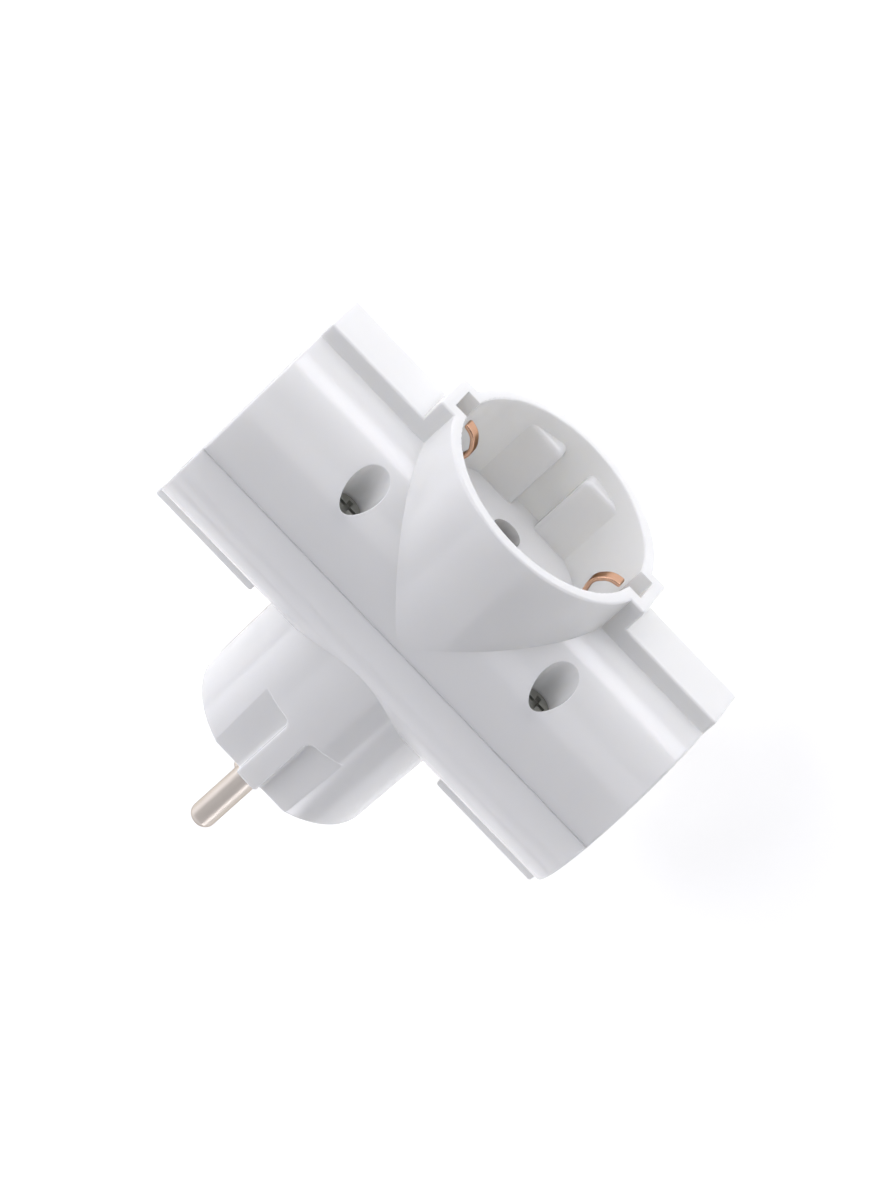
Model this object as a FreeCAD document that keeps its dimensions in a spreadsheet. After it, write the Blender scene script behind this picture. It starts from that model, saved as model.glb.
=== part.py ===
"""Multi socket adapter: one earthed two-pin plug feeds three earthed sockets.

Two moulded shells meet on a flat plane through the axis of the socket bar.
The back shell carries the plug, the front shell the middle socket, and each
holds one half of the two side sockets. Four screws in deep wells close them.
Inside, two busbars join the plug pins to three contacts each, and a stack of
bent earth strips joins the plug's side strips to the clips of the sockets.

+Y runs from the plug's end face to the middle socket, X along the socket bar,
and +Z through both plug pins. The origin is the centre of the plug's end face.
"""
import FreeCAD, Part

import math
import os

import Sketcher

V = FreeCAD.Vector
doc = FreeCAD.newDocument("multi_socket_adapter")
sheet = doc.addObject("Spreadsheet::Sheet", "Sizes")
nodes = {}


class Size:
    """A length that carries its number and the sheet formula behind it."""

    def __init__(self, number, formula):
        self.number = number
        self.formula = formula

    def __float__(self):
        return float(self.number)

    def __add__(self, other):
        return Size(float(self) + float(other), f"({self.formula} + {formula_of(other)})")

    def __sub__(self, other):
        return Size(float(self) - float(other), f"({self.formula} - {formula_of(other)})")

    def __rsub__(self, other):
        return Size(float(other) - float(self), f"({formula_of(other)} - {self.formula})")

    def __mul__(self, factor):
        return Size(float(self) * float(factor), f"({self.formula} * {formula_of(factor)})")

    def __truediv__(self, divisor):
        return Size(float(self) / float(divisor), f"({self.formula} / {formula_of(divisor)})")

    def __neg__(self):
        return Size(-float(self), f"(0 - {self.formula})")

    __radd__ = __add__
    __rmul__ = __mul__


def formula_of(amount):
    return amount.formula if isinstance(amount, Size) else f"({float(amount)})"


def size(name, number, meaning):
    """Write one driving dimension into the sheet and hand it back."""
    size.row += 1
    sheet.set(f"A{size.row}", meaning)
    sheet.set(f"B{size.row}", str(number))
    sheet.setAlias(f"B{size.row}", name)
    return Size(number, f"Sizes.{name}")


size.row = 0


def worked_out(name, amount, meaning):
    """Write a dimension that follows from others into the sheet, as its formula."""
    size.row += 1
    sheet.set(f"A{size.row}", meaning)
    sheet.set(f"B{size.row}", "=" + amount.formula.replace("Sizes.", ""))
    sheet.setAlias(f"B{size.row}", name)
    return Size(float(amount), f"Sizes.{name}")


def root(amount):
    return Size(math.sqrt(float(amount)), f"sqrt{amount.formula}")


# Sockets
recess_radius = size("recess_radius", 19.5, "radius of each socket recess")
recess_depth = size("recess_depth", 18.0, "depth of each socket recess")
pole_share = size("pole_share", 19 / 39, "pole spacing as a share of the recess diameter")
entry_radius = size("entry_radius", 2.9, "radius of a pin entry hole")
guide_height = size("guide_height", 3.0, "recess wall to the flat of its guide blocks")
guide_gap_half = size("guide_gap_half", 2.78, "half of the gap between two guide blocks")
guide_drop = size("guide_drop", 3.5, "socket rim to the top of the guide blocks")
guide_round = size("guide_round", 0.9, "rounding of the guide blocks beside the gap")
guide_corner = size("guide_corner", 1.5, "rounding of the guide blocks' top corner")
guide_reach = size("guide_reach", 14.0, "gap middle to a line past the ends of the blocks")
pole_half = worked_out("pole_half", recess_radius * pole_share,
                       "middle to each pole, on the plug and in the sockets")
guide_flat = recess_radius - guide_height

# Socket bar and middle cup, the walls round the recesses
recess_wall = size("recess_wall", 2.5, "wall round a side socket")
shell_wall = size("shell_wall", 2.5, "wall of the bar between the sockets")
floor_wall = size("floor_wall", 2.5, "thickness of each socket floor")
cup_step = size("cup_step", 0.02, "side of the bar to the side of the middle cup")
cup_draft = size("cup_draft", 0.25, "narrowing of the middle cup's radius to its rim")
cup_stand = size("cup_stand", 7.4, "front of the bar to the rim of the middle cup")
core_margin = size("core_margin", 3.32, "side of the middle cup to a side socket's floor")
rim_round = size("rim_round", 0.45, "rounding of the outer edge of a rim")
mouth_round = size("mouth_round", 0.3, "rounding of the inner edge of a rim")
bar_radius = worked_out("bar_radius", recess_radius + recess_wall,
                        "outer radius of the socket bar")
cup_root_radius = worked_out("cup_root_radius", bar_radius - cup_step,
                             "middle cup radius at the parting plane")
cup_rim_radius = cup_root_radius - cup_draft
cup_reach = worked_out("cup_reach", bar_radius + cup_stand,
                       "bar axis to the rim of the middle cup")
core_half = worked_out("core_half", cup_root_radius + core_margin,
                       "middle of the bar to the inside of a side socket's floor")
bar_half = worked_out("bar_half", core_half + floor_wall + recess_depth,
                      "middle of the bar to each end face")

# Channels behind the earth clips
channel_half = size("channel_half", 2.95, "half width of a clip channel")
channel_side = size("channel_side", 2.38, "side wall of a clip channel")
channel_back = size("channel_back", 2.2, "outer wall of a clip channel")
strip_rise = size("strip_rise", 2.58, "bar surface to the outer face of a channel strip")
ear_rise = size("ear_rise", 2.27, "bar radius to the outer face of an ear, from the cup axis")
back_strip_inset = size("back_strip_inset", 2.55, "side socket's floor to a back strip's start")
channel_round = size("channel_round", 0.5, "rounding of the strips and ears")
strip_face = bar_radius + strip_rise
ear_face = bar_radius + ear_rise
back_strip_start = core_half - back_strip_inset

# Plug
plug_reach = size("plug_reach", 43.6, "plug end face to the bar axis")
plug_fit = size("plug_fit", 1.0, "recess radius less the plug's radius at its end face")
plug_draft = size("plug_draft", 0.7, "widening of the plug's radius to the bar axis")
plug_face_round = size("plug_face_round", 0.8, "rounding of the plug's end face")
plug_hollow_reach = size("plug_hollow_reach", 26.0, "bar axis to the floor of the plug's hollow")
plug_flat_depth = size("plug_flat_depth", 2.1, "plug's side to its guide flats")
plug_flat_length = size("plug_flat_length", 15.3, "length of the guide flats")
plug_rib_half = size("plug_rib_half", 2.3, "half width of the rib between two flats")
plug_flat_round = size("plug_flat_round", 1.3, "rounding of the flats' inner corner")
rib_foot_round = size("rib_foot_round", 0.8, "rounding of the foot of the rib")
rib_edge_round = size("rib_edge_round", 0.5, "rounding of the rib's long edges")
groove_half = size("groove_half", 2.75, "half width of the plug's earth grooves")
plug_face_radius = worked_out("plug_face_radius", recess_radius - plug_fit,
                              "plug radius at its end face")
plug_root_radius = plug_face_radius + plug_draft
plug_solid = plug_reach - plug_hollow_reach
plug_flat = plug_face_radius - plug_flat_depth

# Plug pins
pin_radius = size("pin_radius", 2.4, "radius of a plug pin")
pin_length = size("pin_length", 19.0, "plug end face to the tip of a pin")
pin_tip_round = size("pin_tip_round", 1.8, "rounding of a pin tip")
seat_radius = size("seat_radius", 2.7, "radius of a pin where it sits in the plug")
relief_radius = size("relief_radius", 2.2, "radius in the relief groove at that seat")
relief_length = size("relief_length", 0.3, "length of the relief groove")
collar_radius = size("collar_radius", 3.4, "radius of the collar that seats a pin")
collar_height = size("collar_height", 2.0, "height of that collar")
collar_room = size("collar_room", 1.6, "collar to the wall of the plug's hollow")
neck_radius = size("neck_radius", 2.0, "radius of a pin above its collar")
stem_radius = size("stem_radius", 1.4, "radius of the riveted end of a pin")
stem_head_radius = size("stem_head_radius", 2.1, "radius of the riveted head of a pin")
rivet_head = size("rivet_head", 0.8, "height of every riveted head")
plug_hollow_radius = worked_out("plug_hollow_radius", pole_half + collar_radius + collar_room,
                                "radius of the plug's hollow")

# Screws
screw_inset = size("screw_inset", 2.85, "side socket's floor to a screw, along the bar")
well_radius = size("well_radius", 3.1, "radius of a screw well")
well_depth = size("well_depth", 15.0, "front of the bar to the floor of a well")
well_wall = size("well_wall", 1.5, "wall round a screw well")
well_softness = size("well_softness", 0.06, "rounding of a well's mouth, as a share of the "
                     "wall beside it")
screw_head_radius = size("screw_head_radius", 2.75, "radius of a screw head")
screw_head_height = size("screw_head_height", 2.0, "height of a screw head")
screw_radius = size("screw_radius", 1.5, "radius of a screw")
screw_depth = size("screw_depth", 10.0, "length of a screw in the back shell")
screw_wall = size("screw_wall", 2.1, "wall round a screw in the back shell")
screw_gap = size("screw_gap", 0.2, "gap round a screw in the front shell")
slot_half = size("slot_half", 0.45, "half width of a screw's cross slots")
slot_reach = size("slot_reach", 1.9, "screw axis to the end of a cross slot")
slot_depth = size("slot_depth", 1.0, "depth of the cross slots")
screw_along = worked_out("screw_along", core_half - screw_inset,
                         "bar middle to a screw, along the bar")
well_floor = worked_out("well_floor", bar_radius - well_depth,
                        "parting plane to the floor of a well")

# Current carrying strips
sheet_thick = size("sheet_thick", 0.6, "thickness of the contact sheet")
bar_thick = size("bar_thick", 1.0, "thickness of a busbar")
bar_width_half = size("bar_width_half", 3.0, "half width of a busbar")
bar_room = size("bar_room", 1.97, "wall of the bar to the lower edge of a busbar")
bar_end = size("bar_end", 14.0, "middle to each end of a busbar")
contact_half = size("contact_half", 2.2, "half width of a contact")
contact_room = size("contact_room", 0.15, "screw boss to the side of a contact")
contact_stand = size("contact_stand", 3.4, "pin axis to the root of a contact leaf")
contact_pinch = size("contact_pinch", 2.3, "pin axis to the narrow point of a contact leaf")
contact_flare = size("contact_flare", 3.6, "pin axis to the flared mouth of a contact leaf")
contact_bend = size("contact_bend", 0.8, "bend radius of a contact, at mid thickness")
contact_gap = size("contact_gap", 0.8, "socket floor to the mouth of a contact")
contact_start = size("contact_start", 7.3, "middle to the back plate of a side contact")
rivet_along = size("rivet_along", 11.0, "middle to the rivet of a side contact")
rivet_radius = size("rivet_radius", 1.0, "radius of a rivet")
rivet_head_radius = size("rivet_head_radius", 1.8, "radius of a rivet head")

# Earth strips
earth_thick = size("earth_thick", 0.8, "thickness of an earth strip")
earth_half = size("earth_half", 2.2, "half width of an earth strip inside the case")
clip_half = size("clip_half", 1.25, "half width of an earth clip")
clip_root_gap = size("clip_root_gap", 2.3, "recess wall to the root of an earth clip")
clip_bend_gap = size("clip_bend_gap", 4.3, "recess wall to the clip where it bends in")
clip_pinch_gap = size("clip_pinch_gap", 5.0, "recess wall to the narrow point of a clip")
clip_tail_gap = size("clip_tail_gap", 1.4, "recess wall to the tail of a clip")
clip_bend_height = size("clip_bend_height", 9.2, "socket floor to that bend")
clip_pinch_height = size("clip_pinch_height", 12.4, "socket floor to the narrow point")
clip_turn_height = size("clip_turn_height", 15.0, "socket floor to the turn of the tail")
clip_tail_height = size("clip_tail_height", 15.4, "socket floor to the tail")
clip_root_bend = size("clip_root_bend", 0.45, "tight bend of an earth strip, at mid thickness")
clip_curve = size("clip_curve", 10.0, "gentle bend of an earth clip, at mid thickness")
clip_hook_bend = size("clip_hook_bend", 3.0, "bends of a clip's hook, at mid thickness")
clip_edge_round = size("clip_edge_round", 0.3, "rounding of the long edges of a clip")
earth_drop = size("earth_drop", 4.0, "bar axis to the underside of the earth stack")
plug_strip_wall = size("plug_strip_wall", 1.5, "plug's hollow to the back of its earth strips")
plug_strip_end = size("plug_strip_end", 2.0, "plug end face to the end of its earth strips")
earth_rivet_along = size("earth_rivet_along", 8.0, "middle to each earth rivet")
post_radius = size("post_radius", 3.0, "radius of the posts that clamp the earth stack")
slot_gap = size("slot_gap", 0.1, "gap round a strip in its slot")
seat_gap = size("seat_gap", 0.05, "gap round a pin, stem, rivet or screw in its hole")
parting_groove = size("parting_groove", 0.16, "depth of the fine groove along the parting line")
clip_root = recess_radius - clip_root_gap
clip_bend = recess_radius - clip_bend_gap
clip_pinch = recess_radius - clip_pinch_gap
clip_tail = recess_radius - clip_tail_gap
plug_strip = plug_hollow_radius + plug_strip_wall
screw_across = worked_out(
    "screw_across", pole_half + contact_half + contact_room + well_wall + well_radius,
    "bar middle to a screw, across the bar")
well_round = (bar_radius - screw_across - well_radius) * well_softness
doc.recompute()

# Levels along Y, and places along X, that several pieces share
axis_y = plug_reach
rim_y = axis_y + cup_reach
cup_floor_y = rim_y - recess_depth
cup_under_y = cup_floor_y - floor_wall
side_floor = bar_half - recess_depth
side_under = core_half
chamber_radius = worked_out("chamber_radius", bar_radius - shell_wall,
                            "radius of the hollow between the sockets")
busbar_edge = pole_half + bar_width_half
busbar_y = worked_out(
    "busbar_y", axis_y + bar_room - root(chamber_radius * chamber_radius
                                         - busbar_edge * busbar_edge),
    "plug end face to the underside of the busbars")
contact_y = busbar_y + bar_thick
head_y = contact_y + sheet_thick
earth_y = axis_y - earth_drop
bridge_y = earth_y + earth_thick
front_strip_y = bridge_y + earth_thick
earth_top_y = front_strip_y + earth_thick
strip_half = channel_half + channel_side
bite = 0.5
"""How far a moulded block or post runs into the wall that it grows from."""
CLEAR = 5.0
"""How far a cutting tool runs past the face that it opens."""

TURN = {
    "X": FreeCAD.Rotation(V(0, 1, 0), 90),
    "Y": FreeCAD.Rotation(V(1, 0, 0), -90),
    "Z": FreeCAD.Rotation(),
}


def bind(item, name, amount):
    """Tie one property of an object to the sheet."""
    if isinstance(amount, Size):
        item.setExpression(name, amount.formula)
    else:
        item.setExpression(name, str(float(amount)))


def place(item, corner):
    for letter, amount in zip("xyz", corner):
        bind(item, f"Placement.Base.{letter}", amount)


def box(name, along, up, across):
    """A box from three pairs of limits, along X, Y and Z."""
    item = doc.addObject("Part::Box", name)
    for side, (low, high) in zip(("Length", "Width", "Height"), (along, up, across)):
        bind(item, side, high - low)
    place(item, (along[0], up[0], across[0]))
    return item


def cylinder(name, axis, radius, start, length):
    """A cylinder whose lower end is centred on start and runs along +axis."""
    item = doc.addObject("Part::Cylinder", name)
    item.Placement = FreeCAD.Placement(V(), TURN[axis])
    bind(item, "Radius", radius)
    bind(item, "Height", length)
    place(item, start)
    return item


def cone(name, axis, radii, start, length):
    item = doc.addObject("Part::Cone", name)
    item.Placement = FreeCAD.Placement(V(), TURN[axis])
    bind(item, "Radius1", radii[0])
    bind(item, "Radius2", radii[1])
    bind(item, "Height", length)
    place(item, start)
    return item


def fused(name, items):
    result = doc.addObject("Part::MultiFuse", name)
    result.Shapes = items
    result.Refine = True
    return result


def cut(name, base, tools):
    tool = tools[0] if len(tools) == 1 else fused(name + "_tools", tools)
    result = doc.addObject("Part::Cut", name)
    result.Base = base
    result.Tool = tool
    result.Refine = True
    return result


def common(name, base, tool):
    result = doc.addObject("Part::Common", name)
    result.Base = base
    result.Tool = tool
    return result


def rounded(name, base, choices):
    """Round the edges of base that each chooser picks, with that choice's radius."""
    doc.recompute()
    result = doc.addObject("Part::Fillet", name)
    result.Base = base
    picked = []
    for choose, radius in choices:
        found = [number for number, edge in enumerate(base.Shape.Edges, 1) if choose(edge)]
        if not found:
            raise ValueError(f"{name}: no edge to round")
        picked += [(number, float(radius), float(radius)) for number in found]
    result.Edges = picked
    return result


def near(one, other):
    return abs(float(one) - float(other)) < 0.01


def middle(edge):
    box_ = edge.BoundBox
    return box_.Center


def spans(edge, letter):
    """The length of an edge along one axis."""
    return getattr(edge.BoundBox, letter + "Length")


def span(side, low, high):
    """The same pair of limits on the positive or the negative side."""
    return (low, high) if side > 0 else (-high, -low)


def edge_at(**wanted):
    """A chooser for straight edges that lie at the given X, Y or Z."""
    def choose(edge):
        flat = all(spans(edge, letter) < 0.01 for letter in wanted)
        return flat and all(near(getattr(middle(edge), letter.lower()), amount)
                            for letter, amount in wanted.items())
    return choose


def keep(name, item):
    """Name a finished sub-part."""
    item.Label = name
    nodes[name] = item
    return item


# Flat, turned and bent metal pieces

def plane_of(body, role):
    return next(part for part in body.Origin.OriginFeatures if part.Role == role)


def sketch_in(body, role):
    sketch = body.newObject("Sketcher::SketchObject", body.Name + "_sketch")
    sketch.AttachmentSupport = [(plane_of(body, role), "")]
    sketch.MapMode = "FlatFace"
    return sketch


def tie(sketch, kind, geometry, point, amount):
    """Hold one coordinate of a sketched point, measured from the sketch's origin."""
    number = sketch.addConstraint(
        Sketcher.Constraint(kind, -1, 1, geometry, point, float(amount)))
    bind(sketch, f"Constraints[{number}]", amount)


def outline(sketch, points):
    """Draw a closed outline whose corners follow the sheet."""
    count = len(points)
    spots = [V(float(x), float(y), 0) for x, y in points]
    first = sketch.GeometryCount
    for number in range(count):
        sketch.addGeometry(Part.LineSegment(spots[number], spots[(number + 1) % count]), False)
    for number, (x, y) in enumerate(points):
        following = first + (number + 1) % count
        sketch.addConstraint(Sketcher.Constraint("Coincident", first + number, 2, following, 1))
        tie(sketch, "DistanceX", first + number, 1, x)
        tie(sketch, "DistanceY", first + number, 1, y)


def hole(sketch, x, y, radius):
    circle = Part.Circle(V(float(x), float(y), 0), V(0, 0, 1), float(radius))
    number = sketch.addGeometry(circle, False)
    tie(sketch, "DistanceX", number, 3, x)
    tie(sketch, "DistanceY", number, 3, y)
    held = sketch.addConstraint(Sketcher.Constraint("Radius", number, float(radius)))
    bind(sketch, f"Constraints[{held}]", radius)


def turned(name, profile, start):
    """A body turned about its own Y axis from a half profile of (radius, height)."""
    body = doc.addObject("PartDesign::Body", name)
    sketch = sketch_in(body, "XY_Plane")
    outline(sketch, profile)
    turn = body.newObject("PartDesign::Revolution", name + "_turned")
    turn.Profile = sketch
    turn.ReferenceAxis = (sketch, ["V_Axis"])
    turn.Angle = 360
    sketch.Visibility = False
    place(body, start)
    return body


def soften(body, choose, radius):
    """Round edges of a body's last feature."""
    doc.recompute()
    base = body.Tip
    names = [f"Edge{number}" for number, edge in enumerate(base.Shape.Edges, 1) if choose(edge)]
    if not names:
        raise ValueError(f"{body.Name}: no edge to round")
    fillet = body.newObject("PartDesign::Fillet", body.Name + "_rounded")
    fillet.Base = (base, names)
    bind(fillet, "Radius", radius)
    return fillet


def flat_strip(name, ends, half_width, thickness, start, holes, corner):
    """A strip punched from flat sheet, lying across Y, with its holes."""
    body = doc.addObject("PartDesign::Body", name)
    sketch = sketch_in(body, "XZ_Plane")
    low, high = ends
    outline(sketch, [(low, -half_width), (high, -half_width), (high, half_width),
                     (low, half_width)])
    for x, radius in holes:
        hole(sketch, x, 0, radius)
    pad = body.newObject("PartDesign::Pad", name + "_sheet")
    pad.Profile = sketch
    bind(pad, "Length", thickness)
    pad.Reversed = True
    sketch.Visibility = False
    place(body, start)
    soften(body, lambda edge: spans(edge, "Y") > 0.5 * float(thickness)
           and spans(edge, "X") < 0.01 and not is_seam(edge, holes), corner)
    return body


def is_seam(edge, holes):
    """True for the seam line of a punched hole."""
    return any(abs(middle(edge).x - float(x)) < float(radius) + 0.01 for x, radius in holes)


def bent_path(points, bends):
    """A wire of straight runs with an arc of its own radius at each bend."""
    spots = [V(float(x), float(y), 0) for x, y in points]
    edges = []
    last = spots[0]
    for before, corner, after, bend in zip(spots, spots[1:], spots[2:], bends):
        bend = float(bend)
        arriving = (corner - before).normalize()
        leaving = (after - corner).normalize()
        turn = arriving.getAngle(leaving)
        back = bend * math.tan(turn / 2)
        start = corner - arriving * back
        end = corner + leaving * back
        inward = (leaving - arriving).normalize()
        crown = corner + inward * (bend / math.cos(turn / 2) - bend)
        edges.append(Part.LineSegment(last, start).toShape())
        edges.append(Part.Arc(start, crown, end).toShape())
        last = end
    edges.append(Part.LineSegment(last, spots[-1]).toShape())
    return Part.Wire(edges)


def bent_sheet(points, thick, half_width, bends):
    """A strip of sheet bent along a path in its own XY plane, level in Z."""
    outer = bent_path(points, bends).makeOffset2D(float(thick) / 2, 0, False, False, False)
    face = Part.Face(outer)
    face.translate(V(0, 0, -float(half_width)))
    return face.extrude(V(0, 0, 2 * float(half_width)))


def bent_part(name, shape, place_at):
    part = doc.addObject("Part::Feature", name)
    part.Shape = shape
    part.Placement = place_at
    return part


# Plug pins, riveted to the busbars above a collar that sits in the plug

def plug_pin(name, side):
    solid_top = pin_length + plug_solid
    shoulder = pin_length + busbar_y
    head = pin_length + head_y
    body = turned(name, [
        (0, 0),
        (pin_radius, 0),
        (pin_radius, pin_length - relief_length),
        (relief_radius, pin_length - relief_length),
        (relief_radius, pin_length),
        (seat_radius, pin_length),
        (seat_radius, solid_top),
        (collar_radius, solid_top),
        (collar_radius, solid_top + collar_height),
        (neck_radius, solid_top + collar_height),
        (neck_radius, shoulder),
        (stem_radius, shoulder),
        (stem_radius, head),
        (stem_head_radius, head),
        (stem_head_radius, head + rivet_head),
        (0, head + rivet_head),
    ], (0, -pin_length, side * pole_half))
    soften(body, lambda edge: near(middle(edge).y, 0) and spans(edge, "Y") < 0.01
           and near(spans(edge, "X"), 2 * pin_radius), pin_tip_round)
    keep(name, body)


# Busbars, and contacts of bent sheet that grip the pins of the plugs put in

def busbar(name, side):
    holes = [(0, stem_radius + seat_gap)]
    holes += [(way * rivet_along, rivet_radius + seat_gap) for way in (-1, 1)]
    strip = flat_strip(name, (-bar_end, bar_end), bar_width_half, bar_thick,
                       (0, busbar_y, side * pole_half), holes, bar_width_half / 2)
    keep(name, strip)


def drilled(shape, spots, radius):
    """A bent part with round holes through it along Y, at (x, z)."""
    for x, z in spots:
        drill = Part.makeCylinder(float(radius), float(bar_radius), V(float(x), 0, float(z)),
                                  V(0, 1, 0))
        drill.translate(V(0, float(busbar_y), 0))
        shape = shape.cut(drill)
    return shape


def leaf(root, reach, stand, turn):
    """Corner points of one springy leaf: from its root out to the flared mouth."""
    length = reach - root
    return [(root, turn * stand), (root + length * 0.3, turn * stand),
            (root + length * 0.7, turn * contact_pinch), (reach, turn * contact_flare)]


def front_contact(name, side):
    base = contact_y + sheet_thick / 2
    mouth = cup_under_y - contact_gap
    half = [(x, y) for y, x in leaf(base, mouth, contact_stand, 1)]
    other = [(-x, y) for x, y in half]
    path = other[::-1] + half
    shape = bent_sheet(path, sheet_thick, contact_half, [contact_bend] * len(path))
    shape.translate(V(0, 0, float(side * pole_half)))
    shape = drilled(shape, [(0, side * pole_half)], stem_radius + seat_gap)
    keep(name, bent_part(name, shape, FreeCAD.Placement()))


def side_contact(name, way, side):
    base = contact_y + sheet_thick / 2
    plate = contact_start + sheet_thick / 2
    mouth = side_under - contact_gap
    upper = [(x, axis_y + y) for x, y in leaf(plate, mouth, contact_stand, 1)]
    lower = [(x, axis_y + y) for x, y in leaf(plate, mouth, contact_stand, -1)]
    back = [(bar_end - sheet_thick, base), (plate, base)]
    pieces = []
    for path in (back + upper, lower):
        turned_path = [(way * x, y) for x, y in path]
        pieces.append(bent_sheet(turned_path, sheet_thick, contact_half,
                                 [contact_bend] * len(path)))
    shape = pieces[0].fuse(pieces[1]).removeSplitter()
    shape.translate(V(0, 0, float(side * pole_half)))
    shape = drilled(shape, [(way * rivet_along, side * pole_half)],
                    rivet_radius + seat_gap)
    keep(name, bent_part(name, shape, FreeCAD.Placement()))


def rivet(name, x, z, low, high):
    """A rivet that clamps what lies between two levels."""
    grip = high - low
    body = turned(name, [
        (0, -rivet_head),
        (rivet_head_radius, -rivet_head),
        (rivet_head_radius, 0),
        (rivet_radius, 0),
        (rivet_radius, grip),
        (rivet_head_radius, grip),
        (rivet_head_radius, grip + rivet_head),
        (0, grip + rivet_head),
    ], (x, low, z))
    keep(name, body)


# Earth strips: a stack riveted at the middle, with a pair of clips in each socket

def clip_path(root_level, floor_level):
    """Half of a strip, from the middle out to the root and up to the tail."""
    return [
        (clip_root, root_level),
        (clip_root, floor_level),
        (clip_bend, floor_level + clip_bend_height),
        (clip_pinch, floor_level + clip_pinch_height),
        (clip_pinch + (clip_tail - clip_pinch) / 2, floor_level + clip_turn_height),
        (clip_tail, floor_level + clip_tail_height),
    ]


def both_ways(half):
    """A path and its mirror image, joined through the middle."""
    return [(-x, y) for x, y in half[::-1]] + half


def clip_strip(root_level, floor_level):
    """A strip of flattened wire with a clip at both ends and rounded edges."""
    half = [clip_root_bend, clip_curve, clip_curve, clip_hook_bend, clip_hook_bend]
    strip = bent_sheet(both_ways(clip_path(root_level, floor_level)), earth_thick, clip_half,
                       half[::-1] + half)
    along = [edge for edge in strip.Edges if spans(edge, "Z") < 0.01]
    return strip.makeFillet(float(clip_edge_round), along)


def front_earth_clip():
    level = front_strip_y + earth_thick / 2
    clips = clip_strip(level, cup_floor_y)
    shoulder = cup_under_y - earth_thick / 2 - seat_gap
    saddle = bent_sheet(both_ways([(clip_root, level), (clip_root, shoulder)]), earth_thick,
                        earth_half, [clip_root_bend] * 2)
    shape = drilled(clips.fuse(saddle).removeSplitter(),
                    [(way * earth_rivet_along, 0) for way in (-1, 1)],
                    rivet_radius + seat_gap)
    keep("front_earth_clip", bent_part("front_earth_clip", shape, FreeCAD.Placement()))


def side_earth_clip(name, way):
    level = side_under - earth_thick / 2 - seat_gap
    clips = clip_strip(level, side_floor)
    inner = float(clip_root - clip_root_bend)
    saddle = Part.makeBox(2 * inner, float(earth_thick), 2 * float(earth_half),
                          V(-inner, float(level - earth_thick / 2), -float(earth_half)))
    turn = FreeCAD.Rotation(V(1, 1, 0), 180) if way > 0 else FreeCAD.Rotation(V(0, 0, 1), 90)
    shape = clips.fuse(saddle).removeSplitter()
    keep(name, bent_part(name, shape, FreeCAD.Placement(V(0, float(axis_y), 0), turn)))


def plug_earth_clip():
    level = earth_y + earth_thick / 2
    leg = plug_strip + earth_thick / 2
    shape = bent_sheet(both_ways([(leg, level), (leg, plug_strip_end)]), earth_thick,
                       earth_half, [clip_root_bend] * 2)
    shape = drilled(shape,
                    [(way * earth_rivet_along, 0) for way in (-1, 1)],
                    rivet_radius + seat_gap)
    keep("plug_earth_clip", bent_part("plug_earth_clip", shape, FreeCAD.Placement()))


def earth_bridge():
    reach = side_under - seat_gap - earth_thick
    strip = flat_strip("earth_bridge", (-reach, reach), earth_half, earth_thick,
                       (0, bridge_y, 0),
                       [(way * earth_rivet_along, rivet_radius + seat_gap) for way in (-1, 1)],
                       earth_half / 4)
    keep("earth_bridge", strip)


# Screws

def screw(name, way, side):
    x, z = way * screw_along, side * screw_across
    low = axis_y - screw_depth
    seat = axis_y + well_floor
    top = seat + screw_head_height
    body = turned(name + "_blank", [
        (0, low),
        (screw_radius, low),
        (screw_radius, seat),
        (screw_head_radius, seat),
        (screw_head_radius, top),
        (0, top),
    ], (x, 0, z))
    slots = [
        box(name + "_slot", (x - arm_x, x + arm_x), (top - slot_depth, top + CLEAR),
            (z - arm_z, z + arm_z))
        for arm_x, arm_z in ((slot_half, slot_reach), (slot_reach, slot_half))
    ]
    keep(name, cut(name, body, slots))


# Moulded shells

def bar_blank(name):
    bar = cylinder(name + "_bar", "X", bar_radius, (-bar_half, axis_y, 0), bar_half * 2)
    return rounded(name + "_bar_rounded", bar,
                   [(lambda edge: spans(edge, "X") < 0.01, rim_round)])


def channel_strip(name, along, up, face_y):
    """A raised strip along the bar, over the channel of a side socket's clip."""
    strip = box(name, along, up, (-strip_half, strip_half))
    edges = [edge_at(Y=face_y, Z=strip_half), edge_at(Y=face_y, Z=-strip_half)]
    edges += [edge_at(X=x, Y=face_y) for x in along]
    edges += [edge_at(X=x, Z=z) for x in along for z in (strip_half, -strip_half)]
    return rounded(name + "_rounded", strip, [(edge, channel_round) for edge in edges])


def ear(name, way):
    """The block beside the middle cup that holds the channel of one of its clips."""
    face = way * ear_face
    block = box(name, span(way, recess_radius - CLEAR, ear_face), (axis_y, rim_y),
                (-strip_half, strip_half))
    edges = [edge_at(X=face, Y=rim_y)]
    edges += [edge_at(X=face, Z=z) for z in (strip_half, -strip_half)]
    edges += [edge_at(Y=rim_y, Z=z) for z in (strip_half, -strip_half)]
    return rounded(name + "_rounded", block, [(edge, channel_round) for edge in edges])


def guide_block(name, limits, out, gap, levels, tube):
    """One of the four blocks in a socket, a slice of its wall with a flat face.

    limits are the block's pairs along X, Y and Z, out is the letter of the
    socket's axis and gap that of the axis across the gap between two blocks.
    levels give the block's top, its side at the gap and its flat.
    """
    top, gap_level, flat_level = levels
    block = box(name, *limits)
    softened = rounded(name + "_rounded", block, [
        (edge_at(**{gap: gap_level, "Z": flat_level}), guide_round),
        (edge_at(**{out: top, "Z": flat_level}), guide_round),
        (edge_at(**{out: top, gap: gap_level}), guide_corner),
    ])
    return common(name + "_slice", softened, tube)


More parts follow.
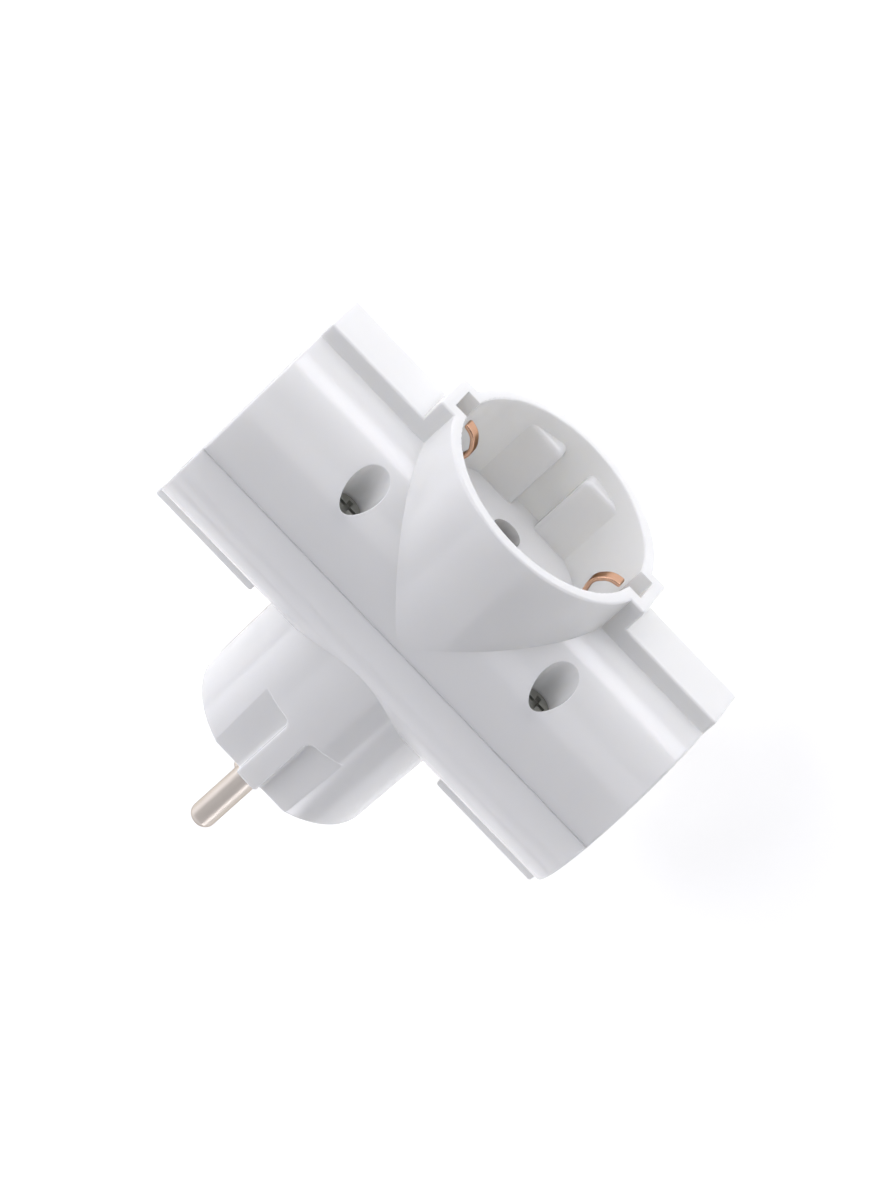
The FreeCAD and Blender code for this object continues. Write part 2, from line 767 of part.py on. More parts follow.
def front_guides():
    tube = cylinder("front_guide_tube", "Y", recess_radius + bite,
                    (0, cup_floor_y - bite, 0), recess_depth)
    blocks = []
    for way in (-1, 1):
        for side in (-1, 1):
            limits = (span(way, guide_gap_half, guide_reach),
                      (cup_floor_y - bite, rim_y - guide_drop),
                      span(side, guide_flat, recess_radius + bite))
            levels = (rim_y - guide_drop, way * guide_gap_half, side * guide_flat)
            blocks.append(guide_block("front_guide", limits, "Y", "X", levels, tube))
    return blocks


def side_guides(way, turn):
    """The blocks of one side socket that stand in one shell: turn is its Y side."""
    tube = cylinder("side_guide_tube", "X", recess_radius + bite,
                    (-bar_half, axis_y, 0), bar_half * 2)
    blocks = []
    for side in (-1, 1):
        low, high = span(turn, guide_gap_half, guide_reach)
        limits = (span(way, side_floor - bite, bar_half - guide_drop),
                  (axis_y + low, axis_y + high),
                  span(side, guide_flat, recess_radius + bite))
        levels = (way * (bar_half - guide_drop), axis_y + turn * guide_gap_half,
                  side * guide_flat)
        blocks.append(guide_block("side_guide", limits, "X", "Y", levels, tube))
    return blocks


def side_socket_tools(way, turn):
    """What is cut out of one shell for one side socket."""
    start = side_floor if way > 0 else -(bar_half + CLEAR)
    recess = cylinder("side_recess", "X", recess_radius, (start, axis_y, 0),
                      recess_depth + CLEAR)
    back = axis_y + turn * (strip_face - channel_back)
    channel = box("side_channel", span(way, side_floor, bar_half + CLEAR),
                  (axis_y, back) if turn > 0 else (back, axis_y),
                  (-channel_half, channel_half))
    low = clip_root - earth_thick / 2 - slot_gap
    high = clip_root + earth_thick / 2 + slot_gap
    low, high = span(turn, low, high)
    slot = box("side_slot", span(way, side_under - CLEAR, side_floor + CLEAR),
               (axis_y + low, axis_y + high),
               (-(clip_half + slot_gap), clip_half + slot_gap))
    entry_start = side_under - CLEAR if way > 0 else -(side_floor + CLEAR)
    entries = [cylinder("side_entry", "X", entry_radius, (entry_start, axis_y, side * pole_half),
                        floor_wall + 2 * CLEAR) for side in (-1, 1)]
    return [recess, channel, slot] + entries


def parting_grooves(name):
    """A fine V along the parting line, on both sides of the bar."""
    grooves = []
    for side in (-1, 1):
        groove = doc.addObject("Part::Box", name + "_groove")
        groove.Placement = FreeCAD.Placement(V(), FreeCAD.Rotation(V(1, 0, 0), 45))
        bind(groove, "Length", (bar_half + CLEAR) * 2)
        bind(groove, "Width", parting_groove * math.sqrt(2))
        bind(groove, "Height", parting_groove * math.sqrt(2))
        place(groove, (-(bar_half + CLEAR), axis_y, side * bar_radius - parting_groove))
        grooves.append(groove)
    return grooves


def screw_spots():
    return [(way, side) for way in (-1, 1) for side in (-1, 1)]


def side_of_bar(name, turn, bar):
    """The half of a blank above (1) or below (-1) the parting plane."""
    reach = (bar_half + CLEAR, plug_reach + CLEAR)
    levels = (axis_y, axis_y + reach[1]) if turn > 0 else (axis_y - reach[1], axis_y)
    keeper = box(name + "_half", (-reach[0], reach[0]), levels, (-reach[0], reach[0]))
    return common(name + "_blank", bar, keeper)


def on_rib_edge(edge):
    """True for a long edge of the rib between two flats of the plug."""
    return (spans(edge, "Y") > float(plug_flat_length) / 2
            and lies(edge, lambda spot: near(abs(spot.x), plug_rib_half)
                     and abs(spot.z) > float(plug_flat + rib_foot_round)
                     and spot.y < float(plug_flat_length)))


def lies(edge, test):
    """True when every one of five points along an edge passes a test."""
    return not edge.Degenerated and all(test(spot) for spot in edge.discretize(5))


def on_well_mouth(edge):
    """True for an edge where a screw well opens in the front of the bar."""
    def test(spot):
        in_well = any(near(math.hypot(spot.x - way * float(screw_along),
                                      spot.z - side * float(screw_across)), well_radius)
                      for way, side in screw_spots())
        return in_well and near(math.hypot(spot.y - float(axis_y), spot.z), bar_radius)
    return lies(edge, test)


def on_front_mouth(edge):
    """True for the inner edge of the middle cup's rim."""
    return lies(edge, lambda spot: near(spot.y, rim_y)
                and near(math.hypot(spot.x, spot.z), recess_radius))


def on_side_mouth(edge):
    """True for the inner edge of a side socket's rim."""
    return lies(edge, lambda spot: near(abs(spot.x), bar_half)
                and near(math.hypot(spot.y - float(axis_y), spot.z), recess_radius))


def front_shell():
    cup = cone("front_cup", "Y", (cup_root_radius, cup_rim_radius), (0, axis_y, 0), cup_reach)
    cup = rounded("front_cup_rounded", cup,
                  [(lambda edge: near(middle(edge).y, rim_y) and spans(edge, "Y") < 0.01,
                    rim_round)])
    pieces = [bar_blank("front"), cup]
    for way in (-1, 1):
        pieces.append(ear("ear", way))
        pieces.append(channel_strip("front_strip", span(way, chamber_radius, bar_half),
                                    (axis_y, axis_y + strip_face), axis_y + strip_face))
    blank = side_of_bar("front", 1, fused("front_outside", pieces))

    chamber = cylinder("front_chamber", "X", chamber_radius, (-side_under, axis_y, 0),
                       side_under * 2)
    below_floor = box("below_front_floor", (-side_under, side_under),
                      (axis_y - CLEAR, cup_under_y), (-bar_radius, bar_radius))
    recess = cylinder("front_recess", "Y", recess_radius, (0, cup_floor_y, 0),
                      recess_depth + CLEAR)
    tools = [common("front_chamber_cut", chamber, below_floor), recess]
    pocket_end = axis_y + clip_root + earth_thick / 2 + slot_gap
    for way in (-1, 1):
        tools += side_socket_tools(way, 1)
        tools.append(box("clip_pocket",
                         span(way, side_under - earth_thick - slot_gap * 2, side_under),
                         (axis_y, pocket_end), (-(earth_half + slot_gap), earth_half + slot_gap)))
        tools.append(box("ear_channel", span(way, 0, ear_face - channel_back),
                         (cup_floor_y, rim_y + CLEAR), (-channel_half, channel_half)))
        low, high = span(way, clip_root - earth_thick / 2 - slot_gap,
                         clip_root + earth_thick / 2 + slot_gap)
        tools.append(box("front_slot", (low, high), (cup_under_y - CLEAR, cup_floor_y + CLEAR),
                         (-(clip_half + slot_gap), clip_half + slot_gap)))
    for side in (-1, 1):
        tools.append(cylinder("front_entry", "Y", entry_radius,
                              (0, cup_under_y - CLEAR, side * pole_half),
                              floor_wall + 2 * CLEAR))
    hollow = cut("front_hollow", blank, tools + parting_grooves("front"))

    bosses = [cylinder("front_boss", "Y", well_radius + well_wall,
                       (way * screw_along, axis_y, side * screw_across),
                       cup_under_y - axis_y + bite)
              for way, side in screw_spots()]
    held = [common("front_bosses", fused("front_boss_set", bosses), bar_blank("front_boss"))]
    held.append(cylinder("front_post", "Y", post_radius, (0, earth_top_y, 0),
                         cup_under_y - earth_top_y + bite))
    held += front_guides()
    for way in (-1, 1):
        held += side_guides(way, 1)
    whole = fused("front_whole", [hollow] + held)

    holes = []
    for way, side in screw_spots():
        x, z = way * screw_along, side * screw_across
        holes.append(cylinder("well", "Y", well_radius, (x, axis_y + well_floor, z), bar_radius))
        holes.append(cylinder("screw_hole", "Y", screw_radius + screw_gap,
                              (x, axis_y - CLEAR, z), well_floor + CLEAR * 2))
    drilled_shell = cut("front_drilled", whole, holes)
    keep("front_shell", rounded("front_shell", drilled_shell, [
        (on_well_mouth, well_round),
        (on_front_mouth, mouth_round),
        (on_side_mouth, mouth_round),
    ]))


def back_shell():
    plug = cone("plug", "Y", (plug_face_radius, plug_root_radius), (0, 0, 0), axis_y)
    plug = rounded("plug_rounded", plug,
                   [(lambda edge: near(middle(edge).y, 0) and spans(edge, "Y") < 0.01,
                     plug_face_round)])
    pieces = [bar_blank("back"), plug]
    for way in (-1, 1):
        pieces.append(channel_strip("back_strip", span(way, back_strip_start, bar_half),
                                    (axis_y - strip_face, axis_y), axis_y - strip_face))
    blank = side_of_bar("back", -1, fused("back_outside", pieces))

    tools = [
        cylinder("back_chamber", "X", chamber_radius, (-side_under, axis_y, 0), side_under * 2),
        cylinder("plug_hollow", "Y", plug_hollow_radius, (0, plug_solid, 0),
                 axis_y - plug_solid),
    ]
    for way in (-1, 1):
        tools += side_socket_tools(way, -1)
        tools.append(box("earth_groove", span(way, plug_strip, plug_root_radius),
                         (-CLEAR, axis_y - bar_radius + shell_wall / 2),
                         (-groove_half, groove_half)))
        tools.append(box("earth_slot", span(way, plug_strip - slot_gap,
                                            plug_strip + earth_thick + slot_gap),
                         (axis_y - bar_radius, axis_y - chamber_radius + CLEAR),
                         (-(earth_half + slot_gap), earth_half + slot_gap)))
    for way, side in screw_spots():
        flat = box("plug_flat", span(way, plug_rib_half, plug_face_radius),
                   (-CLEAR, plug_flat_length), span(side, plug_flat, plug_root_radius + CLEAR))
        tools.append(rounded("plug_flat_rounded", flat, [
            (edge_at(X=way * plug_rib_half, Y=plug_flat_length), plug_flat_round),
            (edge_at(X=way * plug_rib_half, Z=side * plug_flat), rib_foot_round)]))
    hollow = cut("back_hollow", blank, tools + parting_grooves("back"))

    foot = screw_depth + screw_wall
    bosses = [cylinder("back_boss", "Y", screw_radius + screw_wall,
                       (way * screw_along, axis_y - foot, side * screw_across), foot)
              for way, side in screw_spots()]
    held = [common("back_bosses", fused("back_boss_set", bosses), bar_blank("back_boss"))]
    held.append(cylinder("back_post", "Y", post_radius, (0, plug_solid - bite, 0),
                         earth_y - plug_solid + bite))
    for way in (-1, 1):
        held += side_guides(way, -1)
    whole = fused("back_whole", [hollow] + held)

    holes = []
    for way, side in screw_spots():
        holes.append(cylinder("pilot", "Y", screw_radius + seat_gap,
                              (way * screw_along, axis_y - screw_depth, side * screw_across),
                              screw_depth + CLEAR))
    for side in (-1, 1):
        holes.append(cylinder("pin_hole", "Y", seat_radius + seat_gap,
                              (0, -CLEAR, side * pole_half), plug_solid + CLEAR * 2))
    drilled_shell = cut("back_drilled", whole, holes)
    keep("back_shell", rounded("back_shell", drilled_shell, [
        (on_side_mouth, mouth_round),
        (on_rib_edge, rib_edge_round),
    ]))


front_shell()
back_shell()
for pole, side in (("live", 1), ("neutral", -1)):
    plug_pin(f"{pole}_plug_pin", side)
    busbar(f"{pole}_busbar", side)
    front_contact(f"{pole}_front_contact", side)
    for hand, way in (("left", -1), ("right", 1)):
        side_contact(f"{pole}_{hand}_contact", way, side)
        rivet(f"{pole}_{hand}_rivet", way * rivet_along, side * pole_half, busbar_y, head_y)
front_earth_clip()
plug_earth_clip()
earth_bridge()
for hand, way in (("left", -1), ("right", 1)):
    side_earth_clip(f"{hand}_earth_clip", way)
    rivet(f"earth_{hand}_rivet", way * earth_rivet_along, 0, earth_y, earth_top_y)
    for level, side in (("upper", 1), ("lower", -1)):
        screw(f"{level}_{hand}_screw", way, side)

doc.recompute()
for item in doc.Objects:
    if {"Invalid", "Error"} & set(item.State):
        raise ValueError(f"{item.Name} failed: {item.State}")
for name, item in nodes.items():
    if item.Shape.isNull() or not item.Shape.isValid() or item.Shape.Volume <= 0:
        raise ValueError(f"{name} has no sound shape")

os.makedirs("parts", exist_ok=True)
for name, item in nodes.items():
    item.Shape.exportStep(os.path.join("parts", f"{name}.step"))
    print(f"{name}: {len(item.Shape.Solids)} solid, {item.Shape.Volume / 1000:.3f} cm3")
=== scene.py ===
"""Looks of a multi socket adapter: moulded shells, plug pins, earth clips and a photo studio."""
import math

import bpy
from bpy.props import FloatProperty, FloatVectorProperty, PointerProperty
from mathutils import Matrix, Vector


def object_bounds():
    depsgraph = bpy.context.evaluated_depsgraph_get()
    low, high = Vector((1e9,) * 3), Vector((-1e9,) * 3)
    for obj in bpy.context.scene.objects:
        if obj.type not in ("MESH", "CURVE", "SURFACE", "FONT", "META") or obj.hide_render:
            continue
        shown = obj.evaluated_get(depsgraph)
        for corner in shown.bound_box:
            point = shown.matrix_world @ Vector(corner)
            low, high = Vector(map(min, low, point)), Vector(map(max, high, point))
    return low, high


bl_info = {
    "name": "Multi socket adapter",
    "version": (1, 0, 0),
    "blender": (4, 5, 0),
    "location": "View3D > Sidebar > Adapter",
    "description": "Finishes the shells, pins and clips of a multi socket adapter and lights it",
    "category": "Object",
}

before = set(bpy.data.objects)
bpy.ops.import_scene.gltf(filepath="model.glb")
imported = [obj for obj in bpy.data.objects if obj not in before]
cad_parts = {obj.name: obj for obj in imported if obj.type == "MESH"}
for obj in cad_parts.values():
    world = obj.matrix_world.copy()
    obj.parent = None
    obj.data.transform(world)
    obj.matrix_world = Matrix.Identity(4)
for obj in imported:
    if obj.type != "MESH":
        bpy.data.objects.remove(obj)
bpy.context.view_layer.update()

FLOOR_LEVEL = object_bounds()[0][2]


# Settings

class PlasticSettings(bpy.types.PropertyGroup):
    colour: FloatVectorProperty(
        name="Colour", description="Colour of the moulded resin", subtype="COLOR",
        size=4, min=0.0, max=1.0, default=(0.905, 0.91, 0.905, 1.0))
    roughness: FloatProperty(
        name="Roughness", description="Roughness of the polished mould finish",
        default=0.12, min=0.0, max=1.0, subtype="FACTOR")
    orange_peel: FloatProperty(
        name="Orange peel", description="Height of the faint waves in the surface",
        default=0.00002, min=0.0, unit="LENGTH")
    edge_softness: FloatProperty(
        name="Edge softness", description="Radius by which the light rounds the sharp edges",
        default=0.00012, min=0.0, unit="LENGTH")


class MetalSettings(bpy.types.PropertyGroup):
    nickel: FloatVectorProperty(
        name="Nickel", description="Colour of the plated plug pins", subtype="COLOR",
        size=4, min=0.0, max=1.0, default=(0.88, 0.82, 0.74, 1.0))
    bronze: FloatVectorProperty(
        name="Bronze", description="Colour of the earth clips", subtype="COLOR",
        size=4, min=0.0, max=1.0, default=(0.74, 0.47, 0.33, 1.0))
    brass: FloatVectorProperty(
        name="Brass", description="Colour of the busbars and rivets", subtype="COLOR",
        size=4, min=0.0, max=1.0, default=(0.72, 0.55, 0.26, 1.0))
    zinc: FloatVectorProperty(
        name="Zinc", description="Colour of the plated screws", subtype="COLOR",
        size=4, min=0.0, max=1.0, default=(0.45, 0.45, 0.42, 1.0))


class StageSettings(bpy.types.PropertyGroup):
    floor_size: FloatProperty(
        name="Floor size", description="Side of the square floor", default=6.0, unit="LENGTH")
    glow: FloatProperty(
        name="Glow", description="Light that the floor gives off round the adapter",
        default=0.52, min=0.0)
    glow_inner: FloatProperty(
        name="Glow inner radius", description="Radius of the evenly lit floor", default=0.15,
        unit="LENGTH")
    glow_outer: FloatProperty(
        name="Glow outer radius", description="Radius where the floor's own light ends",
        default=0.40, unit="LENGTH")
    focal_length: FloatProperty(
        name="Focal length", description="Camera lens in millimetres", default=234.85,
        unit="CAMERA")


# Materials

VARIATION = "Surface variation"
BROAD_DETAIL = 3.0
FINE_DETAIL = 4.0
FINE_PER_BROAD = 6.0
EDGE_SAMPLES = 4

RESIN_YELLOWING = (0.985, 0.98, 0.96)
RESIN_SCALE = 45.0
RESIN_MOTTLE = 0.6
RESIN_SPREAD = 0.04
RESIN_IOR = 1.6
RESIN_MILKINESS = 0.5
RESIN_DEPTH = 0.002
RESIN_DEPTH_SHARES = (1.0, 0.96, 0.88)

METAL_MOTTLE = 0.8
METAL_EDGE_SOFTNESS = 0.0001
METAL_RIM_TINT = (0.22, 0.18, 0.15, 1.0)


def new_material(name):
    material = bpy.data.materials.new(name)
    material.use_nodes = True
    tree = material.node_tree
    tree.nodes.clear()
    output = tree.nodes.new("ShaderNodeOutputMaterial")
    shader = tree.nodes.new("ShaderNodeBsdfPrincipled")
    tree.links.new(shader.outputs["BSDF"], output.inputs["Surface"])
    return material, tree, shader


def combine(tree, operation, *terms):
    """A sum or product of sockets and numbers."""
    node = tree.nodes.new("ShaderNodeMath")
    node.operation = operation
    for slot, term in zip(node.inputs, terms):
        if isinstance(term, float):
            slot.default_value = term
        else:
            tree.links.new(term, slot)
    return node.outputs["Value"]


def noise(tree, place, scale, detail):
    node = tree.nodes.new("ShaderNodeTexNoise")
    node.inputs["Detail"].default_value = detail
    tree.links.new(place, node.inputs["Vector"])
    tree.links.new(scale, node.inputs["Scale"])
    return node.outputs["Fac"]


def surface_group():
    """Fine variation of colour, roughness and height that every material shares."""
    group = bpy.data.node_groups.new(VARIATION, "ShaderNodeTree")
    face = group.interface
    for name, kind in (("Colour", "NodeSocketColor"), ("Tint", "NodeSocketColor"),
                       ("Scale", "NodeSocketFloat"), ("Mottle", "NodeSocketFloat"),
                       ("Roughness", "NodeSocketFloat"), ("Spread", "NodeSocketFloat"),
                       ("Height", "NodeSocketFloat"), ("Softness", "NodeSocketFloat")):
        face.new_socket(name=name, in_out="INPUT", socket_type=kind)
    for name, kind in (("Colour", "NodeSocketColor"), ("Roughness", "NodeSocketFloat"),
                       ("Normal", "NodeSocketVector")):
        face.new_socket(name=name, in_out="OUTPUT", socket_type=kind)
    nodes, links = group.nodes, group.links
    given = nodes.new("NodeGroupInput").outputs
    result = nodes.new("NodeGroupOutput").inputs
    place = nodes.new("ShaderNodeTexCoord").outputs["Object"]

    broad = noise(group, place, given["Scale"], BROAD_DETAIL)
    mix = nodes.new("ShaderNodeMix")
    mix.data_type = "RGBA"
    start, end = [slot for slot in mix.inputs if slot.name in "AB" and slot.type == "RGBA"]
    mixed = [slot for slot in mix.outputs if slot.type == "RGBA"][0]
    links.new(combine(group, "MULTIPLY", broad, given["Mottle"]), mix.inputs["Factor"])
    links.new(given["Colour"], start)
    links.new(given["Tint"], end)
    links.new(mixed, result["Colour"])

    fine_scale = combine(group, "MULTIPLY", given["Scale"], FINE_PER_BROAD)
    fine = noise(group, place, fine_scale, FINE_DETAIL)
    links.new(combine(group, "MULTIPLY_ADD", fine, given["Spread"], given["Roughness"]),
              result["Roughness"])

    soft = nodes.new("ShaderNodeBevel")
    soft.samples = EDGE_SAMPLES
    links.new(given["Softness"], soft.inputs["Radius"])
    bump = nodes.new("ShaderNodeBump")
    bump.inputs["Strength"].default_value = 1.0
    links.new(soft.outputs["Normal"], bump.inputs["Normal"])
    links.new(given["Height"], bump.inputs["Distance"])
    links.new(broad, bump.inputs["Height"])
    links.new(bump.outputs["Normal"], result["Normal"])
    return group


def vary(tree, shader, values):
    """Put the shared variation in a material with its own values."""
    node = tree.nodes.new("ShaderNodeGroup")
    node.node_tree = bpy.data.node_groups.get(VARIATION) or surface_group()
    for name, value in values.items():
        node.inputs[name].default_value = value
    for source, target in (("Colour", "Base Color"), ("Roughness", "Roughness"),
                           ("Normal", "Normal")):
        tree.links.new(node.outputs[source], shader.inputs[target])


def plastic_material():
    settings = bpy.context.scene.adapter_plastic
    material, tree, shader = new_material("White moulded resin")
    colour = tuple(settings.colour)
    tint = [part * share for part, share in zip(colour, RESIN_YELLOWING)]
    vary(tree, shader, {
        "Colour": colour,
        "Tint": (*tint, 1.0),
        "Scale": RESIN_SCALE,
        "Mottle": RESIN_MOTTLE,
        "Roughness": settings.roughness,
        "Spread": RESIN_SPREAD,
        "Height": settings.orange_peel,
        "Softness": settings.edge_softness,
    })
    shader.inputs["IOR"].default_value = RESIN_IOR
    shader.inputs["Subsurface Weight"].default_value = RESIN_MILKINESS
    shader.inputs["Subsurface Radius"].default_value = RESIN_DEPTH_SHARES
    shader.inputs["Subsurface Scale"].default_value = RESIN_DEPTH
    return material


def metal_material(name, colour, tint, scale, roughness, spread, height):
    material, tree, shader = new_material(name)
    vary(tree, shader, {
        "Colour": tuple(colour),
        "Tint": tint,
        "Scale": scale,
        "Mottle": METAL_MOTTLE,
        "Roughness": roughness,
        "Spread": spread,
        "Height": height,
        "Softness": METAL_EDGE_SOFTNESS,
    })
    shader.inputs["Metallic"].default_value = 1.0
    shader.inputs["Specular Tint"].default_value = METAL_RIM_TINT
    return material


def dress(endings, material):
    """Give a material to every piece whose name has one of the endings."""
    names = [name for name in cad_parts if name.endswith(endings)]
    if not names:
        raise RuntimeError(f"no piece is named {endings}")
    for name in names:
        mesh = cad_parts[name].data
        mesh.materials.clear()
        mesh.materials.append(material)


class ADAPTER_OT_shells(bpy.types.Operator):
    """Give the two moulded shells their polished white resin"""
    bl_idname = "adapter.shells"
    bl_label = "Shells"

    def execute(self, context):
        dress(("_shell",), plastic_material())
        return {"FINISHED"}


class ADAPTER_OT_pins(bpy.types.Operator):
    """Give the two plug pins their satin nickel plate"""
    bl_idname = "adapter.pins"
    bl_label = "Plug pins"

    def execute(self, context):
        dress(("_plug_pin",), metal_material(
            "Nickel plate", context.scene.adapter_metal.nickel, tint=(0.80, 0.72, 0.64, 1.0),
            scale=220.0, roughness=0.40, spread=0.08, height=0.0))
        return {"FINISHED"}


class ADAPTER_OT_clips(bpy.types.Operator):
    """Give the earth clips and the pin contacts their phosphor bronze"""
    bl_idname = "adapter.clips"
    bl_label = "Clips and contacts"

    def execute(self, context):
        dress(("_clip", "_contact"), metal_material(
            "Phosphor bronze", context.scene.adapter_metal.bronze, tint=(0.62, 0.36, 0.24, 1.0),
            scale=300.0, roughness=0.18, spread=0.1, height=0.00001))
        return {"FINISHED"}


class ADAPTER_OT_busbars(bpy.types.Operator):
    """Give the busbars, the earth bridge and the rivets their stamped brass"""
    bl_idname = "adapter.busbars"
    bl_label = "Busbars and rivets"

    def execute(self, context):
        dress(("_busbar", "_rivet", "_bridge"), metal_material(
            "Stamped brass", context.scene.adapter_metal.brass, tint=(0.60, 0.44, 0.20, 1.0),
            scale=260.0, roughness=0.3, spread=0.1, height=0.00001))
        return {"FINISHED"}


class ADAPTER_OT_screws(bpy.types.Operator):
    """Give the case screws their dull zinc plate"""
    bl_idname = "adapter.screws"
    bl_label = "Screws"

    def execute(self, context):
        dress(("_screw",), metal_material(
            "Zinc plate", context.scene.adapter_metal.zinc, tint=(0.36, 0.37, 0.33, 1.0),
            scale=400.0, roughness=0.35, spread=0.12, height=0.00001))
        return {"FINISHED"}


# Stage

SENSOR_WIDTH = 36.0
CLIP_START = 0.01
CLIP_END = 20.0
EYE = (-0.051335, 0.5807, 0.8210)
EYE_RIGHT = (0.69206, 0.62348, -0.36377)
EYE_UP = (-0.71986, 0.55878, -0.41178)
EYE_BACK = (-0.05348, 0.54684, 0.83553)

FLOOR_COLOUR = (0.9, 0.9, 0.9, 1.0)
FLOOR_ROUGHNESS = 0.9
FLOOR_GLOW_COLOUR = (1.0, 1.0, 1.0, 1.0)

MIDDLE = (0.0, 0.04, 0.0)
LIGHT_COLOUR = (1.0, 0.995, 1.055)
HORIZON_FADE = 0.6
SURROUND_LEVEL = 1.27
SURROUND_LEAN = (-0.86, 0.12, 0.0)

# Each panel: its name, place, aim, size and radiance
LIGHTS = (
    ("Panel ahead", (0.02, 0.42, 0.03), MIDDLE, (0.15, 0.10), 3.1),
    ("Softbox left", (-0.8, 0.1, 0.8), MIDDLE, (0.8, 0.8), 2.0),
    ("Softbox ahead left", (-0.9, 1.0, 0.7), MIDDLE, (0.8, 0.8), 0.7),
    ("Softbox above", (0.0, 0.9, 1.5), MIDDLE, (1.0, 0.7), 0.7),
    ("Softbox right", (0.8, 0.1, 0.8), MIDDLE, (0.8, 0.8), 0.78),
    ("Wall right", (0.95, 0.1, 0.25), MIDDLE, (0.5, 0.4), 1.1),
    ("Softbox behind", (0.0, -0.9, 0.8), MIDDLE, (1.2, 0.8), 0.72),
    ("Card behind right", (0.25, -0.25, 0.12), (0.04, 0.03, 0.0), (0.10, 0.10), 5.0),
)


def camera():
    """The camera of the photograph, lying over to one side."""
    data = bpy.data.cameras.new("Photo camera")
    data.sensor_fit = "HORIZONTAL"
    data.sensor_width = SENSOR_WIDTH
    data.lens = bpy.context.scene.adapter_stage.focal_length
    data.clip_start = CLIP_START
    data.clip_end = CLIP_END
    eye = bpy.data.objects.new("Photo camera", data)
    turn = Matrix((EYE_RIGHT, EYE_UP, EYE_BACK)).transposed().to_4x4()
    eye.matrix_world = Matrix.Translation(Vector(EYE)) @ turn
    bpy.context.scene.collection.objects.link(eye)
    bpy.context.scene.camera = eye


def floor():
    """A square white floor that gives off light of its own round the adapter."""
    settings = bpy.context.scene.adapter_stage
    half = settings.floor_size / 2
    mesh = bpy.data.meshes.new("Floor")
    corners = [(-half, -half), (half, -half), (half, half), (-half, half)]
    mesh.from_pydata([(x, y, FLOOR_LEVEL) for x, y in corners], [], [(0, 1, 2, 3)])
    ground = bpy.data.objects.new("Floor", mesh)
    bpy.context.scene.collection.objects.link(ground)
    material, tree, shader = new_material("Pale floor")
    shader.inputs["Base Color"].default_value = FLOOR_COLOUR
    shader.inputs["Roughness"].default_value = FLOOR_ROUGHNESS
    shader.inputs["Emission Color"].default_value = FLOOR_GLOW_COLOUR
    place = tree.nodes.new("ShaderNodeTexCoord")
    reach = tree.nodes.new("ShaderNodeVectorMath")
    reach.operation = "DISTANCE"
    reach.inputs[1].default_value = (MIDDLE[0], MIDDLE[1], FLOOR_LEVEL)
    tree.links.new(place.outputs["Object"], reach.inputs[0])
    glow = tree.nodes.new("ShaderNodeMapRange")
    glow.interpolation_type = "SMOOTHSTEP"
    glow.inputs["From Min"].default_value = settings.glow_inner
    glow.inputs["From Max"].default_value = settings.glow_outer
    glow.inputs["To Min"].default_value = settings.glow
    glow.inputs["To Max"].default_value = 0.0
    tree.links.new(reach.outputs["Value"], glow.inputs["Value"])
    tree.links.new(glow.outputs["Result"], shader.inputs["Emission Strength"])
    mesh.materials.append(material)


def area_light(name, place, aim, size, radiance):
    """A rectangular panel of even radiance."""
    data = bpy.data.lights.new(name, "AREA")
    data.shape = "RECTANGLE"
    data.size, data.size_y = size
    data.energy = radiance * size[0] * size[1] * math.pi
    data.color = LIGHT_COLOUR
    light = bpy.data.objects.new(name, data)
    light.location = place
    light.rotation_euler = (Vector(aim) - Vector(place)).to_track_quat("-Z", "Y").to_euler()
    bpy.context.scene.collection.objects.link(light)


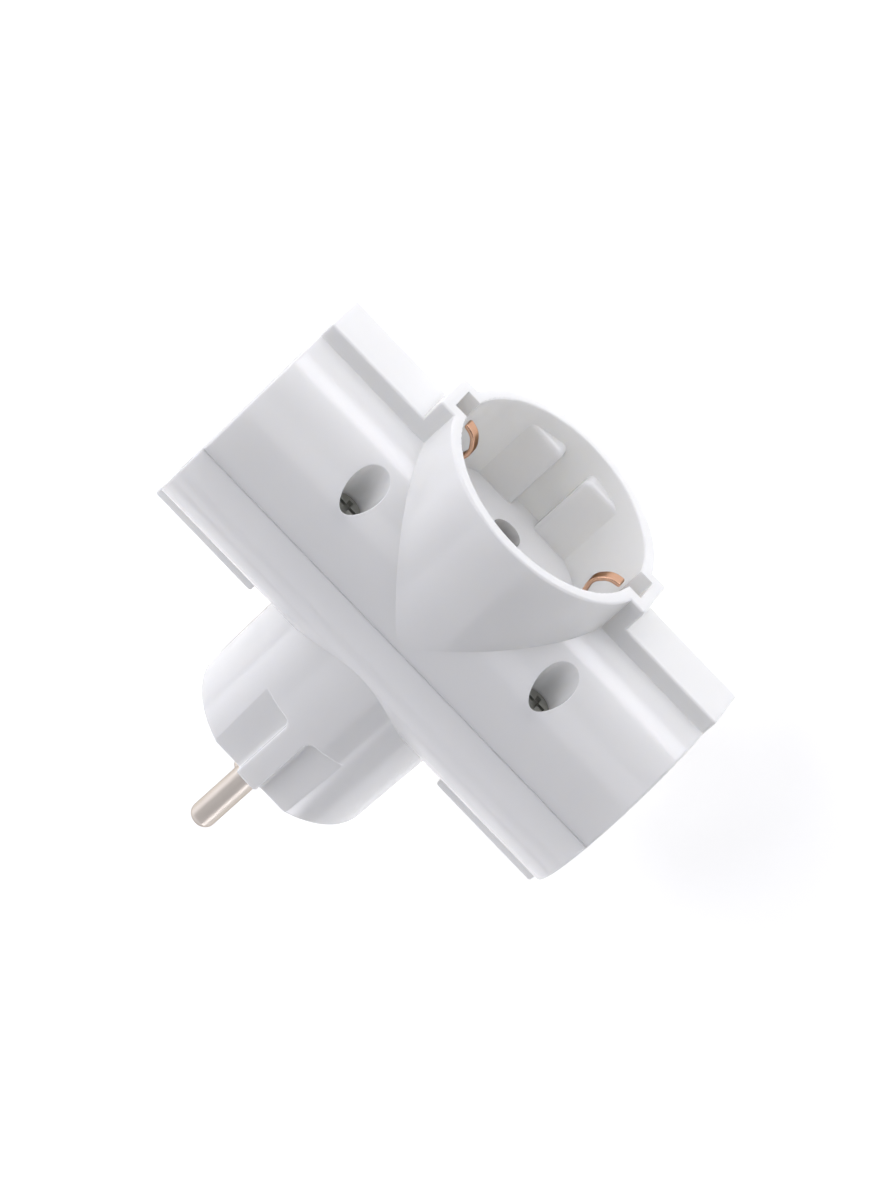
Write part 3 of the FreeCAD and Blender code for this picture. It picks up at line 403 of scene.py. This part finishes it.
def backdrop():
    """A surround that is bright near the horizon, most of all to the left and ahead."""
    world = bpy.data.worlds.new("Studio")
    world.use_nodes = True
    tree = world.node_tree
    background = tree.nodes["Background"]
    background.inputs["Color"].default_value = (*LIGHT_COLOUR, 1.0)
    place = tree.nodes.new("ShaderNodeTexCoord")
    parts = tree.nodes.new("ShaderNodeSeparateXYZ")
    tree.links.new(place.outputs["Generated"], parts.inputs["Vector"])
    fade = tree.nodes.new("ShaderNodeMapRange")
    fade.inputs["From Max"].default_value = HORIZON_FADE
    fade.inputs["To Min"].default_value = 1.0
    fade.inputs["To Max"].default_value = 0.0
    tree.links.new(parts.outputs["Z"], fade.inputs["Value"])
    lean = tree.nodes.new("ShaderNodeVectorMath")
    lean.operation = "DOT_PRODUCT"
    lean.inputs[1].default_value = SURROUND_LEAN
    tree.links.new(place.outputs["Generated"], lean.inputs[0])
    level = combine(tree, "ADD", lean.outputs["Value"], SURROUND_LEVEL)
    strength = combine(tree, "MULTIPLY", level, fade.outputs["Result"])
    tree.links.new(strength, background.inputs["Strength"])
    bpy.context.scene.world = world


class ADAPTER_OT_stage(bpy.types.Operator):
    """Lay the floor, set the lights and place the photograph's camera"""
    bl_idname = "adapter.stage"
    bl_label = "Stage"

    def execute(self, context):
        floor()
        backdrop()
        for values in LIGHTS:
            area_light(*values)
        camera()
        context.scene.view_settings.view_transform = "Standard"
        return {"FINISHED"}


# Sidebar

class ADAPTER_PT_panel(bpy.types.Panel):
    bl_label = "Adapter"
    bl_idname = "ADAPTER_PT_panel"
    bl_space_type = "VIEW_3D"
    bl_region_type = "UI"
    bl_category = "Adapter"

    def draw(self, context):
        for operator in OPERATORS:
            self.layout.operator(operator.bl_idname)
        for group in ("adapter_plastic", "adapter_metal", "adapter_stage"):
            settings = getattr(context.scene, group)
            for name in settings.bl_rna.properties.keys():
                if name not in ("name", "rna_type"):
                    self.layout.prop(settings, name)


OPERATORS = (ADAPTER_OT_shells, ADAPTER_OT_pins, ADAPTER_OT_clips, ADAPTER_OT_busbars,
             ADAPTER_OT_screws, ADAPTER_OT_stage)
CLASSES = (PlasticSettings, MetalSettings, StageSettings) + OPERATORS + (ADAPTER_PT_panel,)


def register():
    for item in CLASSES:
        bpy.utils.register_class(item)
    bpy.types.Scene.adapter_plastic = PointerProperty(type=PlasticSettings)
    bpy.types.Scene.adapter_metal = PointerProperty(type=MetalSettings)
    bpy.types.Scene.adapter_stage = PointerProperty(type=StageSettings)


def unregister():
    del bpy.types.Scene.adapter_stage
    del bpy.types.Scene.adapter_metal
    del bpy.types.Scene.adapter_plastic
    for item in reversed(CLASSES):
        bpy.utils.unregister_class(item)


def main():
    register()
    bpy.ops.adapter.shells()
    bpy.ops.adapter.pins()
    bpy.ops.adapter.clips()
    bpy.ops.adapter.busbars()
    bpy.ops.adapter.screws()
    bpy.ops.adapter.stage()


if __name__ == "__main__":
    main()
